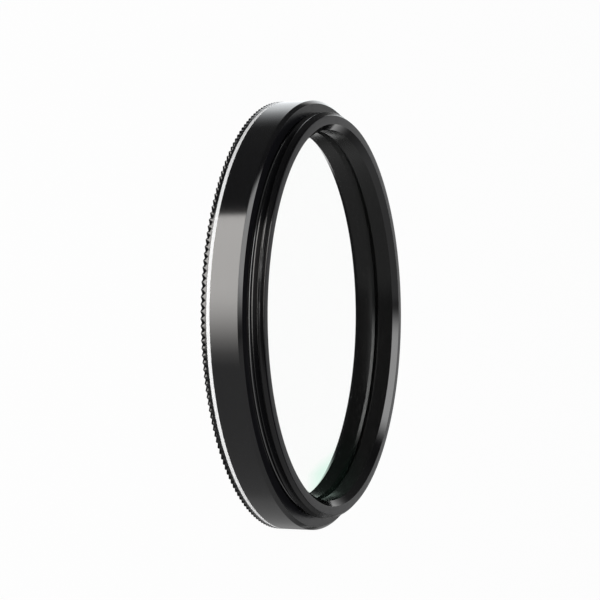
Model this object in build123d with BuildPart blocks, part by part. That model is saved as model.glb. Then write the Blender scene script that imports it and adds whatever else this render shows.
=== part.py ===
from build123d import *
import math
import os

# An optical bandpass filter: a coated disc of glass in a screw-in cell.
# It stands on its rear face, and Z is the optical axis.
# The male thread is in front, at the top. The female thread is behind, at the bottom.
# Sizes are in millimetres. Both threads are plain cylinders here, at the radius that mates.

# Threads, both 48 mm across with a 0.75 mm pitch
THREAD_DIAMETER = 48.0
THREAD_PITCH = 0.75
MALE_LENGTH = 1.95
MALE_LEAD_IN = 0.48
NECK_WIDTH = 0.35
NECK_DEPTH = 0.60
MOUTH_CHAMFER = 0.42
RELIEF_WIDTH = 0.30
RELIEF_CLEARANCE = 0.05

# Cell, outside: the shoulder makes it 50.8 mm across
SHOULDER_STEP = 1.40
BODY_LENGTH = 4.75
BODY_CHAMFER = 0.38

# Knurl round the rear edge: notches that are deepest at the rear face and run out forwards
KNURL_WIDTH = 0.71
KNURL_TEETH = 200
KNURL_DEPTH = 0.37
KNURL_RUN_OUT = 0.08
NOTCH_ANGLE = 90.0

# Painted stripe in a shallow groove in front of the knurl
STRIPE_WIDTH = 0.40
STRIPE_DEPTH = 0.12
PAINT_BELOW_RIM = 0.02

# Finer inner thread for the retaining ring, ahead of the female thread
RING_THREAD_STEP = 0.36
RING_THREAD_SPARE = 0.10

# Glass, in a pocket just inside the ring's thread
POCKET_STEP = 0.234
GLASS_CLEARANCE = 0.10
GLASS_THICKNESS = 1.10
GLASS_BEVEL = 0.12

# Bore in front of the glass, with the lip that the glass rests against
LIP_REACH = 0.99
LIP_CHAMFER = 0.45
FRONT_CHAMFER = 0.64
RECESS_DEPTH = 2.95

# Retaining ring, screwed in behind the glass, with two slots for a spanner
RING_REACH = 0.70
RING_THICKNESS = 0.60
RING_CLEARANCE = 0.03
RING_BORE_BEVEL = 0.22
SLOT_WIDTH = 1.60
SLOT_DEPTH = 0.34

# Radii
male_r = THREAD_DIAMETER / 2
cell_r = male_r + SHOULDER_STEP
female_r = male_r - 5 / 8 * math.sqrt(3) / 2 * THREAD_PITCH
neck_r = male_r - NECK_DEPTH
relief_r = male_r + RELIEF_CLEARANCE
ring_thread_r = female_r - RING_THREAD_STEP
pocket_r = ring_thread_r - POCKET_STEP
glass_r = pocket_r - GLASS_CLEARANCE
lip_r = glass_r - LIP_REACH
ring_r = ring_thread_r - RING_CLEARANCE
ring_bore_r = glass_r - RING_REACH
paint_inner_r = cell_r - STRIPE_DEPTH
paint_outer_r = cell_r - PAINT_BELOW_RIM

# Heights above the rear face
stripe_top_z = KNURL_WIDTH + STRIPE_WIDTH
front_z = BODY_LENGTH + MALE_LENGTH
neck_top_z = BODY_LENGTH + NECK_WIDTH
glass_front_z = front_z - RECESS_DEPTH
glass_rear_z = glass_front_z - GLASS_THICKNESS
ring_rear_z = glass_rear_z - RING_THICKNESS
relief_z = ring_rear_z - RELIEF_WIDTH
ring_thread_end_z = glass_rear_z + RING_THREAD_SPARE

# Knurl notch: its root rises from KNURL_DEPTH at the rear face to the rim at the run-out
notch_root_r = cell_r - KNURL_DEPTH
notch_run = KNURL_WIDTH - KNURL_RUN_OUT
notch_reach = 2 * KNURL_DEPTH
notch_half_width = notch_reach * math.tan(math.radians(NOTCH_ANGLE / 2))

os.makedirs("parts", exist_ok=True)

# One notch of the knurl, a sloping V
with BuildPart() as knurl_notch:
    notch_plane = Plane(
        origin=(notch_root_r, 0, 0), x_dir=(0, 1, 0), z_dir=(KNURL_DEPTH, 0, notch_run)
    )
    with BuildSketch(notch_plane):
        with BuildLine():
            Polyline(
                (0, 0),
                (notch_half_width, -notch_reach),
                (-notch_half_width, -notch_reach),
                close=True,
            )
        make_face()
    extrude(amount=2 * notch_run, both=True)

# The cell is one turned piece
with BuildPart() as filter_cell:
    # Outside: floor of the stripe's groove, plain band, shoulder, neck and male thread
    with BuildSketch(Plane.XZ):
        with BuildLine():
            Polyline(
                (0, 0),
                (paint_inner_r, 0),
                (paint_inner_r, stripe_top_z),
                (cell_r, stripe_top_z),
                (cell_r, BODY_LENGTH - BODY_CHAMFER),
                (cell_r - BODY_CHAMFER, BODY_LENGTH),
                (neck_r, BODY_LENGTH),
                (neck_r, neck_top_z),
                (male_r, neck_top_z),
                (male_r, front_z - MALE_LEAD_IN),
                (male_r - MALE_LEAD_IN, front_z),
                (0, front_z),
                close=True,
            )
        make_face()
    revolve(axis=Axis.Z)
    # Rim behind the stripe, with one flat for each tooth of the knurl
    with BuildSketch():
        RegularPolygon(radius=cell_r, side_count=KNURL_TEETH)
    extrude(amount=KNURL_WIDTH)
    # Inside: female thread, relief, the ring's thread, glass pocket, lip and front chamfer
    with BuildSketch(Plane.XZ):
        with BuildLine():
            Polyline(
                (0, 0),
                (female_r + MOUTH_CHAMFER, 0),
                (female_r, MOUTH_CHAMFER),
                (female_r, relief_z),
                (relief_r, relief_z),
                (relief_r, ring_rear_z),
                (ring_thread_r, ring_rear_z),
                (ring_thread_r, ring_thread_end_z),
                (pocket_r, ring_thread_end_z),
                (pocket_r, glass_front_z),
                (lip_r + LIP_CHAMFER, glass_front_z),
                (lip_r, glass_front_z + LIP_CHAMFER),
                (lip_r, front_z - FRONT_CHAMFER),
                (lip_r + FRONT_CHAMFER, front_z),
                (0, front_z),
                close=True,
            )
        make_face()
    revolve(axis=Axis.Z, mode=Mode.SUBTRACT)
    with PolarLocations(0, KNURL_TEETH):
        add(knurl_notch.part, mode=Mode.SUBTRACT)
filter_cell.part.label = "filter_cell"
export_step(filter_cell.part, "parts/filter_cell.step")

# White paint that fills the groove
with BuildPart() as index_stripe:
    with BuildSketch(Plane.XY.offset(KNURL_WIDTH)):
        Circle(paint_outer_r)
        Circle(paint_inner_r, mode=Mode.SUBTRACT)
    extrude(amount=STRIPE_WIDTH)
index_stripe.part.label = "index_stripe"
export_step(index_stripe.part, "parts/index_stripe.step")

# The coated glass, resting against the lip
with BuildPart() as filter_glass:
    with BuildSketch(Plane.XY.offset(glass_rear_z)):
        Circle(glass_r)
    extrude(amount=GLASS_THICKNESS)
    chamfer(filter_glass.edges().filter_by(GeomType.CIRCLE), length=GLASS_BEVEL)
filter_glass.part.label = "filter_glass"
export_step(filter_glass.part, "parts/filter_glass.step")

# The ring that holds the glass against the lip
with BuildPart() as retaining_ring:
    with BuildSketch(Plane.XY.offset(ring_rear_z)):
        Circle(ring_r)
        Circle(ring_bore_r, mode=Mode.SUBTRACT)
    extrude(amount=RING_THICKNESS)
    bore_edges = retaining_ring.edges().filter_by(GeomType.CIRCLE).group_by(SortBy.RADIUS)[0]
    chamfer(bore_edges.sort_by(Axis.Z)[0], length=RING_BORE_BEVEL)
    # Spanner slots, across the ring on both sides
    with BuildSketch(Plane.XY.offset(ring_rear_z)):
        Rectangle(2 * ring_r + SLOT_WIDTH, SLOT_WIDTH)
    extrude(amount=SLOT_DEPTH, mode=Mode.SUBTRACT)
retaining_ring.part.label = "retaining_ring"
export_step(retaining_ring.part, "parts/retaining_ring.step")
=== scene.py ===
import math

import bpy
import numpy as np
from mathutils import Matrix, Vector


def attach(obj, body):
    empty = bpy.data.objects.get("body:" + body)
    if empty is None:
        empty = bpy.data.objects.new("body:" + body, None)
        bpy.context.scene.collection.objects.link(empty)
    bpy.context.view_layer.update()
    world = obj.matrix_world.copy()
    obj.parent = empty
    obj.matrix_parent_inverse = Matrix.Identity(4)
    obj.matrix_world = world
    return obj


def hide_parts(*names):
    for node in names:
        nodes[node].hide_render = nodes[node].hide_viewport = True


# An optical bandpass filter, lying on its rear face on a white floor.
# Lengths are in millimetres until a mesh or a place in the scene is made from them.
MM = 0.001

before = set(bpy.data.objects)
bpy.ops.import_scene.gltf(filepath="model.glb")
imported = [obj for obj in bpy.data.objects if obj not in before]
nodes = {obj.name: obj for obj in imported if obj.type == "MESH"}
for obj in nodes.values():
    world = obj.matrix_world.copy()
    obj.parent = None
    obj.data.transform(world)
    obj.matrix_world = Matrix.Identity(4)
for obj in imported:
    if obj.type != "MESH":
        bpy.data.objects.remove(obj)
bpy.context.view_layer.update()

# Radii of the cell, the same as the CAD part's
CELL_R = 25.40
STRIPE_FLOOR_R = 25.28
MALE_R = 24.00
NECK_R = 23.40
FEMALE_R = 23.594
MOUTH_R = 24.014
RELIEF_R = 24.05
RING_THREAD_R = 23.234
POCKET_R = 23.00
LIP_R = 21.91

# Heights of the cell over its rear face, the same as the CAD part's
KNURL_TOP = 0.71
STRIPE_TOP = 1.11
RELIEF_Z = 1.75
RING_REAR = 2.05
RING_THREAD_END = 2.75
GLASS_FRONT = 3.75
SHOULDER_Z = 4.75
NECK_TOP = 5.10
FRONT_Z = 6.70

# Chamfers and roundings. The first four are in the CAD part, and the others are too fine for it.
BODY_CHAMFER = 0.38
LEAD_IN = 0.48
FRONT_CHAMFER = 0.64
LIP_CHAMFER = 0.45
NECK_FILLET = 0.17
REAR_BEVEL = 0.10
FRONT_EDGE = 0.04
GROOVE_ROUNDING = 0.02
FRONT_ROUNDING = 0.02
LIP_ROUNDING = 0.03
CHAMFER_ROUNDING = 0.04
RELIEF_ROUNDING = 0.04

# Knurl: V-notches that are deepest at the rear face, between slightly domed lands
TEETH = 200
NOTCH_DEPTH = 0.37
NOTCH_RUN = 0.63
LAND_DOME = 0.03
COLUMNS_PER_TOOTH = 4
COLUMNS = TEETH * COLUMNS_PER_TOOTH

# Where a notch has run out, its two edges stay this far from its root, in radians
LEAST_NOTCH_ANGLE = 0.0004

# Threads: right-handed, each with a crest at this height at this angle
PITCH = 0.75
FLANK_SLOPE = math.tan(math.radians(60))
MALE_CREST_Z = 5.46
MALE_CREST_ANGLE = math.radians(175)
MALE_CREST_HALF = PITCH / 16
MALE_THREAD_DEPTH = 0.55
FEMALE_CREST_Z = 0.30
FEMALE_CREST_ANGLE = 0.0
FEMALE_CREST_HALF = PITCH / 8
FEMALE_THREAD_DEPTH = 0.40

# Rows of each thread's mesh over one pitch, in millimetres from the middle of its crest
MALE_STEPS = [-0.047, 0.047, 0.13, 0.22, 0.30, 0.3645, 0.3855, 0.45, 0.53, 0.62]
FEMALE_STEPS = [-0.094, 0.094, 0.21, 0.325, 0.425, 0.54]

# Points of the mesh that are closer than this are one, and folds sharper than this stay sharp
MERGE_DISTANCE = 0.0001
SHARP_ANGLE = math.radians(28)

# Finishes of the cell, as indices into its materials
GLOSS = 0
SATIN = 1
BORE = 2
THREAD = 3
EDGE = 4
FILLET = 5


def link(name, data):
    """A new object in the scene, with this mesh, lamp or camera as its data."""
    obj = bpy.data.objects.new(name, data)
    bpy.context.scene.collection.objects.link(obj)
    return obj


# Materials

def new_material(name):
    made = bpy.data.materials.new(name)
    made.use_nodes = True
    made.node_tree.nodes.clear()
    return made, made.node_tree


def add_node(tree, kind, **settings):
    node = tree.nodes.new(kind)
    for key, value in settings.items():
        setattr(node, key, value)
    return node


def set_inputs(node, **values):
    """Set a node's sockets. An underscore in a name stands for a space."""
    for key, value in values.items():
        node.inputs[key.replace("_", " ")].default_value = value


def math_node(tree, operation, first, second=None):
    node = add_node(tree, "ShaderNodeMath", operation=operation)
    for slot, value in enumerate((first, second)):
        if value is None:
            continue
        if isinstance(value, (int, float)):
            node.inputs[slot].default_value = value
        else:
            tree.links.new(value, node.inputs[slot])
    return node.outputs[0]


def object_place(tree):
    return add_node(tree, "ShaderNodeTexCoord").outputs["Object"]


def noise(tree, place, scale, detail=2.0):
    made = add_node(tree, "ShaderNodeTexNoise")
    set_inputs(made, Scale=scale, Detail=detail)
    tree.links.new(place, made.inputs["Vector"])
    return made.outputs["Fac"]


def bump(tree, height, distance, strength=1.0, normal=None):
    made = add_node(tree, "ShaderNodeBump")
    set_inputs(made, Strength=strength, Distance=distance * MM)
    tree.links.new(height, made.inputs["Height"])
    if normal is not None:
        tree.links.new(normal, made.inputs["Normal"])
    return made.outputs["Normal"]


def surface(tree, shader_output):
    out = add_node(tree, "ShaderNodeOutputMaterial")
    tree.links.new(shader_output, out.inputs["Surface"])


def cylinder_coordinates(tree):
    """Radius and height in millimetres and the angle in radians, from the object's own coordinates."""
    split = add_node(tree, "ShaderNodeSeparateXYZ")
    tree.links.new(object_place(tree), split.inputs[0])
    x, y, z = split.outputs
    x_square = math_node(tree, "MULTIPLY", x, x)
    y_square = math_node(tree, "MULTIPLY", y, y)
    radius = math_node(tree, "SQRT", math_node(tree, "ADD", x_square, y_square))
    angle = math_node(tree, "ARCTAN2", y, x)
    radius_mm = math_node(tree, "MULTIPLY", radius, 1 / MM)
    height_mm = math_node(tree, "MULTIPLY", z, 1 / MM)
    return radius_mm, height_mm, angle


def turned_metal(
    name,
    colour=(0.003, 0.003, 0.0035),
    roughness=0.12,
    spread=0.03,
    specular=0.5,
    ior=1.5,
    groove_height=0.0005,
    groove_scale=8.0,
    burr_height=0.0,
):
    """Black anodised aluminium as a lathe leaves it: fine lines that run round the axis.

    groove_height and burr_height are in millimetres.
    """
    angle_scale = 1.5
    grain_scale = 900.0
    burr_scale = 3500.0
    made, tree = new_material(name)
    radius, height, angle = cylinder_coordinates(tree)
    lines = add_node(tree, "ShaderNodeCombineXYZ")
    tree.links.new(math_node(tree, "MULTIPLY", radius, groove_scale), lines.inputs[0])
    tree.links.new(math_node(tree, "MULTIPLY", height, groove_scale), lines.inputs[1])
    tree.links.new(math_node(tree, "MULTIPLY", angle, angle_scale), lines.inputs[2])
    turning = noise(tree, lines.outputs[0], 1.0, detail=4.0)
    place = object_place(tree)
    grain = noise(tree, place, grain_scale, detail=3.0)
    half_turning = math_node(tree, "MULTIPLY", turning, 0.5)
    half_grain = math_node(tree, "MULTIPLY", grain, 0.5)
    rough = add_node(tree, "ShaderNodeMapRange")
    set_inputs(rough, To_Min=roughness - spread, To_Max=roughness + spread)
    tree.links.new(math_node(tree, "ADD", half_turning, half_grain), rough.inputs["Value"])
    normal = bump(tree, turning, groove_height)
    if burr_height > 0:
        normal = bump(tree, noise(tree, place, burr_scale), burr_height, normal=normal)
    shader = add_node(tree, "ShaderNodeBsdfPrincipled")
    set_inputs(shader, Base_Color=(*colour, 1), IOR=ior, Specular_IOR_Level=specular)
    tree.links.new(rough.outputs["Result"], shader.inputs["Roughness"])
    tree.links.new(normal, shader.inputs["Normal"])
    surface(tree, shader.outputs["BSDF"])
    return made


def white_paint():
    """Satin white paint that has flowed slightly uneven."""
    made, tree = new_material("white_paint")
    flow = noise(tree, object_place(tree), 700.0, detail=3.0)
    tint = add_node(tree, "ShaderNodeValToRGB")
    dull, bright = tint.color_ramp.elements
    dull.position = 0.3
    dull.color = (0.86, 0.86, 0.86, 1)
    bright.position = 0.7
    bright.color = (0.91, 0.91, 0.91, 1)
    tree.links.new(flow, tint.inputs["Fac"])
    shader = add_node(tree, "ShaderNodeBsdfPrincipled")
    set_inputs(shader, Roughness=0.35)
    tree.links.new(tint.outputs["Color"], shader.inputs["Base Color"])
    tree.links.new(bump(tree, flow, 0.01, strength=0.5), shader.inputs["Normal"])
    surface(tree, shader.outputs["BSDF"])
    return made


def coated_glass():
    """Glass with a mirror-like interference coating, and a painted green reflection on one side near the
    rim.
    """
    # Where the painted green reflection lies: its side, how wide it is, and how far from the centre it
    # starts
    sheen_angle = math.radians(-72)
    sheen_half_width = math.radians(38)
    sheen_core_half_width = math.radians(12)
    sheen_inner_r = 15.0
    sheen_outer_r = 19.0
    sheen_wander = 1.2
    made, tree = new_material("coated_glass")
    radius, _, angle = cylinder_coordinates(tree)
    cloud = noise(tree, object_place(tree), 30.0)
    centred = math_node(tree, "SUBTRACT", cloud, 0.5)
    wander = math_node(tree, "MULTIPLY", centred, sheen_wander)
    outwards = add_node(tree, "ShaderNodeMapRange")
    set_inputs(outwards, From_Min=sheen_inner_r, From_Max=sheen_outer_r)
    tree.links.new(math_node(tree, "ADD", radius, wander), outwards.inputs["Value"])
    sideways = add_node(tree, "ShaderNodeMapRange")
    set_inputs(sideways, From_Min=math.cos(sheen_half_width), From_Max=math.cos(sheen_core_half_width))
    set_inputs(sideways, To_Min=0.12, To_Max=1.0)
    towards = math_node(tree, "COSINE", math_node(tree, "ADD", angle, -sheen_angle))
    tree.links.new(towards, sideways.inputs["Value"])
    # Painted reflection: the green that the coating shows at a slant is put into the base colour, mostly on
    # one side near the rim
    painted_sheen = math_node(tree, "MULTIPLY", outwards.outputs["Result"], sideways.outputs["Result"])
    tint = add_node(tree, "ShaderNodeValToRGB")
    clear, green = tint.color_ramp.elements
    clear.position = 0.0
    clear.color = (0.985, 0.99, 0.985, 1)
    green.position = 1.0
    green.color = (0.72, 0.95, 0.83, 1)
    pale = tint.color_ramp.elements.new(0.6)
    pale.color = (0.975, 0.99, 0.975, 1)
    tree.links.new(painted_sheen, tint.inputs["Fac"])
    shader = add_node(tree, "ShaderNodeBsdfPrincipled")
    set_inputs(shader, Metallic=0.97, Transmission_Weight=1.0, Roughness=0.015, IOR=1.5)
    tree.links.new(tint.outputs["Color"], shader.inputs["Base Color"])
    surface(tree, shader.outputs["BSDF"])
    return made


# The cell's section

def rounded(corners, steps=2):
    """A line through (radius, height, rounding) corners. Each rounded one becomes a few straight steps."""
    line = []
    last = len(corners) - 1
    for i, (r, z, rounding) in enumerate(corners):
        if rounding == 0 or i in (0, last):
            line.append((r, z))
            continue
        here = np.array((r, z))
        back = np.array(corners[i - 1][:2]) - here
        ahead = np.array(corners[i + 1][:2]) - here
        back = back / np.linalg.norm(back)
        ahead = ahead / np.linalg.norm(ahead)
        half_turn = math.acos(np.clip(back @ ahead, -1, 1)) / 2
        reach = rounding / math.tan(half_turn)
        start = here + back * reach
        end = here + ahead * reach
        for s in range(steps + 1):
            t = s / steps
            point = (1 - t) ** 2 * start + 2 * t * (1 - t) * here + t * t * end
            line.append(tuple(point))
    return line


def outside_line():
    return rounded(
        [
            (CELL_R, NOTCH_RUN, 0),
            (CELL_R, KNURL_TOP, GROOVE_ROUNDING),
            (STRIPE_FLOOR_R, KNURL_TOP, 0),
            (STRIPE_FLOOR_R, STRIPE_TOP, 0),
            (CELL_R, STRIPE_TOP, GROOVE_ROUNDING),
            (CELL_R, SHOULDER_Z - BODY_CHAMFER, CHAMFER_ROUNDING),
            (CELL_R - BODY_CHAMFER, SHOULDER_Z, 0),
        ]
    )


def shoulder_line():
    return [
        (CELL_R - BODY_CHAMFER, SHOULDER_Z),
        (NECK_R + 2 * NECK_FILLET, SHOULDER_Z),
    ]


def neck_line():
    return rounded(
        [
            (NECK_R + 2 * NECK_FILLET, SHOULDER_Z, 0),
            (NECK_R, SHOULDER_Z, NECK_FILLET),
            (NECK_R, NECK_TOP, 0),
        ],
        steps=4,
    )


def front_line():
    return rounded(
        [
            (MALE_R - LEAD_IN + FRONT_EDGE, FRONT_Z - FRONT_EDGE, 0),
            (MALE_R - LEAD_IN, FRONT_Z, FRONT_ROUNDING),
            (LIP_R + FRONT_CHAMFER, FRONT_Z, 0),
        ]
    )


def front_chamfer_line():
    return [
        (LIP_R + FRONT_CHAMFER, FRONT_Z),
        (LIP_R, FRONT_Z - FRONT_CHAMFER),
    ]


def bore_line():
    return rounded(
        [
            (LIP_R, FRONT_Z - FRONT_CHAMFER, 0),
            (LIP_R, GLASS_FRONT + LIP_CHAMFER, LIP_ROUNDING),
            (LIP_R + LIP_CHAMFER, GLASS_FRONT, 0),
            (POCKET_R, GLASS_FRONT, 0),
            (POCKET_R, RING_THREAD_END, 0),
            (RING_THREAD_R, RING_THREAD_END, 0),
            (RING_THREAD_R, RING_REAR, 0),
            (RELIEF_R, RING_REAR, RELIEF_ROUNDING),
            (RELIEF_R, RELIEF_Z, 0),
        ]
    )


# The cell's threads

def thread_distance(z, angle, crest_z, crest_angle):
    """Distance along the axis, up or down, to the middle of the nearest crest of a right-handed thread."""
    shift = z - crest_z - PITCH * (angle - crest_angle) / (2 * math.pi)
    return np.abs((shift / PITCH + 0.5) % 1.0 - 0.5) * PITCH


def flank(distance, crest_half, depth):
    """How far a thread with 60 degree flanks has fallen from its crest at this distance along the axis."""
    return np.clip((distance - crest_half) * FLANK_SLOPE, 0, depth)


def male_radius(z, angle):
    distance = thread_distance(z, angle, MALE_CREST_Z, MALE_CREST_ANGLE)
    thread = MALE_R - flank(distance, MALE_CREST_HALF, MALE_THREAD_DEPTH)
    lead_in = MALE_R - np.maximum(z - (FRONT_Z - LEAD_IN), 0)
    return np.minimum(thread, lead_in)


def female_radius(z, angle):
    distance = thread_distance(z, angle, FEMALE_CREST_Z, FEMALE_CREST_ANGLE)
    thread = FEMALE_R + flank(distance, FEMALE_CREST_HALF, FEMALE_THREAD_DEPTH)
    mouth = MOUTH_R - z
    return np.maximum(thread, mouth)


def helical_rows(radius_at, steps, low, high, crest_z, crest_angle):
    """Rows of points that follow the thread between two heights, with a level row at each of the two."""
    angles = np.linspace(0, 2 * math.pi, COLUMNS + 1)
    rise = PITCH * (angles - crest_angle) / (2 * math.pi)
    turns = range(-12, 13)
    starts = sorted(crest_z + PITCH * turn + step for turn in turns for step in steps)
    first = np.full(COLUMNS + 1, low)
    last = np.full(COLUMNS + 1, high)
    rows = [(radius_at(first, angles), first, angles)]
    for start in starts:
        z = start + rise
        if z.max() < low or z.min() > high:
            continue
        z = np.clip(z, low, high)
        rows.append((radius_at(z, angles), z, angles))
    rows.append((radius_at(last, angles), last, angles))
    return rows


def male_rows():
    """The male thread's rows, from the neck up to the front edge."""
    high = FRONT_Z - FRONT_EDGE
    return helical_rows(male_radius, MALE_STEPS, NECK_TOP, high, MALE_CREST_Z, MALE_CREST_ANGLE)


def female_rows():
    """The female thread's rows, from the relief down to the rear face."""
    rows = helical_rows(female_radius, FEMALE_STEPS, 0.0, RELIEF_Z, FEMALE_CREST_Z, FEMALE_CREST_ANGLE)
    return rows[::-1]


# The cell's mesh

def plain_rows(line):
    """Rows of points at even angles, one row for each (radius, height) of the line."""
    angles = np.linspace(0, 2 * math.pi, COLUMNS + 1)
    return [(np.full(COLUMNS + 1, r), np.full(COLUMNS + 1, z), angles) for r, z in line]


def knurl_rows():
    """Rows of points over the knurl: notch root, notch edge, middle of land and notch edge of each tooth."""
    rows = []
    tooth = 2 * math.pi / TEETH
    roots = np.arange(TEETH) * tooth
    for z in (0.0, REAR_BEVEL, 0.5 * NOTCH_RUN, 0.8 * NOTCH_RUN, NOTCH_RUN):
        land_r = CELL_R - REAR_BEVEL if z == 0 else CELL_R
        share = 1 - (z / NOTCH_RUN) ** 2
        depth = NOTCH_DEPTH * share
        dome = LAND_DOME * share
        edge = max(depth / CELL_R, LEAST_NOTCH_ANGLE)
        angles = np.stack([roots, roots + edge, roots + tooth / 2, roots + tooth - edge], axis=1)
        angles = np.append(angles.ravel(), 2 * math.pi)
        radii = np.tile([land_r - depth, land_r - dome, land_r, land_r - dome], TEETH)
        radii = np.append(radii, land_r - depth)
        rows.append((radii, np.full(COLUMNS + 1, z), angles))
    return rows


def cell_strips():
    """The cell's rows in order round its section, as (rows, finish)."""
    outside = plain_rows(outside_line())
    front = plain_rows(front_line())
    male = male_rows()
    female = female_rows()
    knurl = knurl_rows()
    neck_top = plain_rows([(NECK_R, NECK_TOP)])
    relief_end = plain_rows([(RELIEF_R, RELIEF_Z)])
    return [
        (outside[1:], GLOSS),
        (plain_rows(shoulder_line()), SATIN),
        (plain_rows(neck_line()), FILLET),
        ([neck_top[0], male[0]], SATIN),
        (male, THREAD),
        ([male[-1], front[0]], SATIN),
        (front, SATIN),
        (plain_rows(front_chamfer_line()), EDGE),
        (plain_rows(bore_line()), BORE),
        ([relief_end[0], female[0]], SATIN),
        (female, SATIN),
        ([female[-1], knurl[0]], SATIN),
        (knurl, GLOSS),
        ([knurl[-1], outside[1]], GLOSS),
    ]


def lathe_mesh(name, strips):
    """One closed mesh from strips of rows, with points that fall together merged."""
    points = []
    faces = []
    finishes = []
    width = COLUMNS + 1
    for rows, finish in strips:
        base = len(points)
        for radii, heights, angles in rows:
            points.extend(zip(radii * np.cos(angles), radii * np.sin(angles), heights))
        for row in range(len(rows) - 1):
            for column in range(COLUMNS):
                a = base + row * width + column
                faces.append((a, a + 1, a + width + 1, a + width))
                finishes.append(finish)
    keys = np.round(np.array(points) / MERGE_DISTANCE).astype(np.int64)
    _, first, index = np.unique(keys, axis=0, return_index=True, return_inverse=True)
    index = index.ravel()
    kept = []
    kept_finishes = []
    for face, finish in zip(faces, finishes):
        corners = list(dict.fromkeys(int(index[corner]) for corner in face))
        if len(corners) > 2:
            kept.append(corners)
            kept_finishes.append(finish)
    mesh = bpy.data.meshes.new(name)
    places = np.array(points)[first] * MM
    mesh.from_pydata([tuple(place) for place in places], [], kept)
    mesh.polygons.foreach_set("material_index", kept_finishes)
    mesh.validate()
    mesh.update()
    return mesh


def cell_materials():
    """The cell's finishes, in the order of their indices."""
    gloss = turned_metal("anodised_gloss", specular=0.83, groove_height=0.0002, groove_scale=6.0)
    satin = turned_metal(
        "anodised_satin",
        colour=(0.008, 0.008, 0.0098),
        roughness=0.33,
        spread=0.07,
        specular=0.12,
        groove_height=0.003,
        groove_scale=10.0,
        burr_height=0.001,
    )
    bore = turned_metal("anodised_bore", colour=(0.004, 0.004, 0.004), roughness=0.16, spread=0.04)
    thread = turned_metal(
        "anodised_thread",
        roughness=0.16,
        spread=0.05,
        specular=0.6,
        groove_height=0.002,
        groove_scale=14.0,
        burr_height=0.012,
    )
    edge = turned_metal("anodised_edge", roughness=0.10, specular=1.0)
    fillet = turned_metal("anodised_fillet", roughness=0.08, specular=1.0, ior=2.1, burr_height=0.004)
    return [gloss, satin, bore, thread, edge, fillet]


def build_cell():
    """The turned cell, with the real threads that the solids leave out."""
    mesh = lathe_mesh("cell", cell_strips())
    for material in cell_materials():
        mesh.materials.append(material)
    cell = link("cell", mesh)
    mesh.shade_smooth()
    mesh.set_sharp_from_angle(angle=SHARP_ANGLE)
    weighted = cell.modifiers.new("weighted", "WEIGHTED_NORMAL")
    weighted.keep_sharp = True
    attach(cell, "root")
    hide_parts("filter_cell")


def ring_metal():
    return turned_metal(
        "ring_satin",
        colour=(0.008, 0.008, 0.009),
        roughness=0.30,
        spread=0.05,
        groove_height=0.002,
        groove_scale=10.0,
    )


def dress(node, material):
    """Give one of the CAD part's own pieces its material."""
    node.data.materials.clear()
    node.data.materials.append(material)


# Stage

def on_sphere(azimuth, elevation, radius=1.0):
    """The point at this azimuth and elevation, in degrees, on a sphere round the filter."""
    a = math.radians(azimuth)
    e = math.radians(elevation)
    level = radius * math.cos(e)
    return level * math.cos(a), level * math.sin(a), radius * math.sin(e)


def smooth(x):
    x = np.clip(x, 0, 1)
    return x * x * (3 - 2 * x)


def card_lines(span, soft):
    """Angles of a card's grid: some over each fading edge, and others a wider step apart between them."""
    edge_lines = 7
    step = 4
    low, high = span
    inner_low = low + soft[0]
    inner_high = high - soft[1]
    count = max(2, int((inner_high - inner_low) / step) + 1)
    first = np.linspace(low, inner_low, edge_lines)
    middle = np.linspace(inner_low, inner_high, count)
    last = np.linspace(inner_high, high, edge_lines)
    return np.unique(np.concatenate([first, middle, last]))


def card_fade(angle, span, soft):
    """How much of a card's light is left at this angle: none at its ends, and all between the soft edges."""
    rising = smooth((angle - span[0]) / soft[0])
    falling = smooth((span[1] - angle) / soft[1])
    return rising * falling


def card_material(name, strength, colour):
    made, tree = new_material(name)
    glow = add_node(tree, "ShaderNodeAttribute", attribute_name="glow")
    clear = add_node(tree, "ShaderNodeBsdfTransparent")
    light = add_node(tree, "ShaderNodeEmission")
    set_inputs(light, Color=(*colour, 1), Strength=strength)
    mix = add_node(tree, "ShaderNodeMixShader")
    tree.links.new(glow.outputs["Fac"], mix.inputs["Fac"])
    tree.links.new(clear.outputs[0], mix.inputs[1])
    tree.links.new(light.outputs[0], mix.inputs[2])
    surface(tree, mix.outputs[0])
    return made


def card(name, azimuth, elevation, strength, side_edges, level_edges, distance, colour=(1, 1, 1)):
    """Part of a sphere round the filter that shows only in reflections, like the softbox of a studio.

    azimuth and elevation are spans in degrees. side_edges are the widths over which it fades out at the
    low and the high azimuth, and level_edges those at the low and the high elevation.
    """
    azimuths = card_lines(azimuth, side_edges)
    elevations = card_lines(elevation, level_edges)
    points = []
    glow = []
    for e in elevations:
        for a in azimuths:
            points.append(on_sphere(a, e, distance))
            fade = card_fade(a, azimuth, side_edges) * card_fade(e, elevation, level_edges)
            glow.append(float(fade))
    width = len(azimuths)
    faces = []
    for row in range(len(elevations) - 1):
        for column in range(width - 1):
            corner = row * width + column
            faces.append((corner, corner + 1, corner + width + 1, corner + width))
    mesh = bpy.data.meshes.new(name)
    mesh.from_pydata(points, [], faces)
    mesh.attributes.new("glow", "FLOAT", "POINT").data.foreach_set("value", glow)
    mesh.materials.append(card_material(name, strength, colour))
    obj = link(name, mesh)
    obj.visible_camera = False
    obj.visible_diffuse = False
    obj.visible_shadow = False
    obj.visible_transmission = False
    obj.visible_volume_scatter = False


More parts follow.
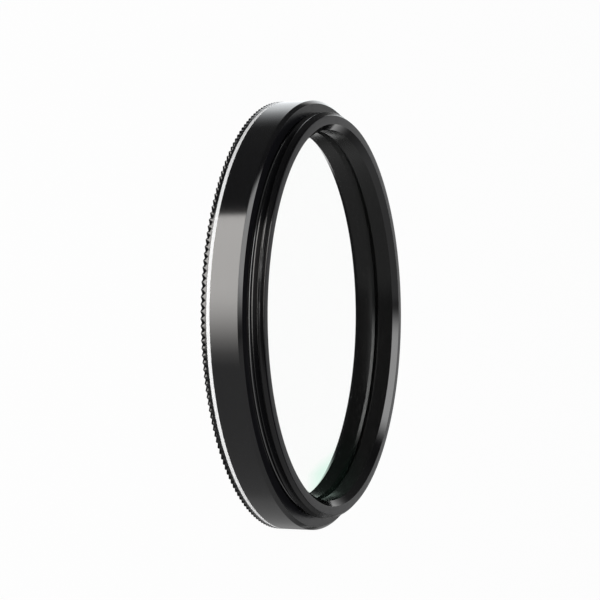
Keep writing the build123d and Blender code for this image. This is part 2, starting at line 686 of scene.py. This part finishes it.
def build_room():
    """The dark room round the camera. The white backdrop shows through the gap in it."""
    hard = 0.01
    card(
        "room",
        azimuth=(35, 359),
        elevation=(-90, 3),
        strength=0.08,
        side_edges=(10, 1),
        level_edges=(hard, 1),
        distance=1.10,
    )
    card(
        "room_above",
        azimuth=(11, 347),
        elevation=(0, 90),
        strength=0.06,
        side_edges=(17, 17),
        level_edges=(7, hard),
        distance=1.05,
    )
    card(
        "ceiling",
        azimuth=(-180, 180),
        elevation=(30, 90),
        strength=0.03,
        side_edges=(hard, hard),
        level_edges=(10, hard),
        distance=1.02,
    )
    card(
        "room_below",
        azimuth=(-180, 180),
        elevation=(-90, -34),
        strength=0.06,
        side_edges=(hard, hard),
        level_edges=(hard, 8),
        distance=1.00,
    )


def build_walls():
    """The lighter surfaces beside the filter."""
    card(
        "side_wall",
        azimuth=(186, 332),
        elevation=(-50, 80),
        strength=0.30,
        side_edges=(20, 30),
        level_edges=(8, 8),
        distance=0.95,
    )
    card(
        "bright_side",
        azimuth=(-2, 63),
        elevation=(-34, 2),
        strength=1.62,
        side_edges=(4, 32),
        level_edges=(8, 8),
        distance=0.90,
        colour=(0.95, 0.98, 1.0),
    )
    card(
        "dim_side",
        azimuth=(285, 358),
        elevation=(-34, 1),
        strength=0.42,
        side_edges=(12, 26),
        level_edges=(8, 8),
        distance=0.90,
    )


def build_softboxes():
    """The two softboxes, and the bright strip behind the camera."""
    card(
        "left_softbox",
        azimuth=(126.4, 206),
        elevation=(-60, -6),
        strength=5.8,
        side_edges=(1.6, 40),
        level_edges=(6, 6),
        distance=0.85,
        colour=(1.0, 0.975, 0.95),
    )
    card(
        "right_softbox",
        azimuth=(69, 194),
        elevation=(40, 82),
        strength=3.0,
        side_edges=(16, 44),
        level_edges=(6, 8),
        distance=0.85,
    )
    card(
        "behind_camera",
        azimuth=(130, 216),
        elevation=(-5, 9),
        strength=2.6,
        side_edges=(10, 40),
        level_edges=(2, 3),
        distance=0.85,
    )


def seen_directly(tree):
    """1 for what the camera sees, by itself or through a reflection or glass, and 0 for soft light."""
    path = add_node(tree, "ShaderNodeLightPath")
    through = math_node(tree, "MAXIMUM", path.outputs["Is Glossy Ray"], path.outputs["Is Transmission Ray"])
    return math_node(tree, "MAXIMUM", path.outputs["Is Camera Ray"], through)


def build_floor():
    """White paper just under the rear face. The small share of plain paper keeps the filter's shadow."""
    reach = 3.0
    height = -0.01 * MM
    white_share = 0.96
    corners = [
        (-reach, -reach, height),
        (reach, -reach, height),
        (reach, reach, height),
        (-reach, reach, height),
    ]
    mesh = bpy.data.meshes.new("floor")
    mesh.from_pydata(corners, [], [(0, 1, 2, 3)])
    made, tree = new_material("floor")
    paper = add_node(tree, "ShaderNodeBsdfDiffuse")
    set_inputs(paper, Color=(0.95, 0.95, 0.95, 1))
    white = add_node(tree, "ShaderNodeEmission")
    set_inputs(white, Strength=1.0)
    mix = add_node(tree, "ShaderNodeMixShader")
    tree.links.new(math_node(tree, "MULTIPLY", seen_directly(tree), white_share), mix.inputs["Fac"])
    tree.links.new(paper.outputs[0], mix.inputs[1])
    tree.links.new(white.outputs[0], mix.inputs[2])
    surface(tree, mix.outputs[0])
    mesh.materials.append(made)
    floor = link("floor", mesh)
    floor.visible_glossy = False


def build_world():
    """A white backdrop that lights the filter only softly."""
    world = bpy.data.worlds.new("studio")
    world.use_nodes = True
    tree = world.node_tree
    tree.nodes.clear()
    soft_light = add_node(tree, "ShaderNodeBackground")
    set_inputs(soft_light, Color=(1, 1, 1, 1), Strength=0.25)
    white = add_node(tree, "ShaderNodeBackground")
    set_inputs(white, Color=(1, 1, 1, 1))
    mix = add_node(tree, "ShaderNodeMixShader")
    tree.links.new(seen_directly(tree), mix.inputs["Fac"])
    tree.links.new(soft_light.outputs[0], mix.inputs[1])
    tree.links.new(white.outputs[0], mix.inputs[2])
    out = add_node(tree, "ShaderNodeOutputWorld")
    tree.links.new(mix.outputs[0], out.inputs["Surface"])
    bpy.context.scene.world = world


def lamp(name, azimuth, elevation, power, distance=0.8, size=0.5):
    """A round lamp that shines on the filter and doesn't show in reflections."""
    data = bpy.data.lights.new(name, "AREA")
    data.shape = "DISK"
    data.size = size
    data.energy = power
    back = Vector(on_sphere(azimuth, elevation))
    obj = link(name, data)
    obj.location = back * distance
    obj.rotation_mode = "QUATERNION"
    obj.rotation_quaternion = back.to_track_quat("Z", "Y")
    obj.visible_glossy = False


def build_camera():
    """The camera that fits the photograph. It is rolled, so that the filter's axis runs to the right."""
    tilt = math.radians(68.51)
    distance = 231.5 * MM
    image_width = 600.0
    focal_pixels = 1933.9
    centre_x_pixels = 286.57
    centre_y_pixels = 315.22
    data = bpy.data.cameras.new("camera")
    data.sensor_width = 36.0
    data.lens = focal_pixels / image_width * data.sensor_width
    data.shift_x = (image_width / 2 - centre_x_pixels) / image_width
    data.shift_y = (centre_y_pixels - image_width / 2) / image_width
    data.clip_start = 0.01
    right = Vector((math.cos(tilt), 0, math.sin(tilt)))
    up = Vector((0, 1, 0))
    back = right.cross(up)
    turn = Matrix((right, up, back)).transposed().to_4x4()
    camera = link("camera", data)
    camera.matrix_world = Matrix.Translation(back * distance) @ turn
    bpy.context.scene.camera = camera


build_cell()
dress(nodes["index_stripe"], white_paint())
dress(nodes["filter_glass"], coated_glass())
dress(nodes["retaining_ring"], ring_metal())

build_floor()
build_world()
build_room()
build_walls()
build_softboxes()
lamp("key", azimuth=178, elevation=30, power=4.25)
lamp("fill", azimuth=238, elevation=20, power=0.95)
build_camera()

bpy.context.scene.view_settings.view_transform = "Standard"
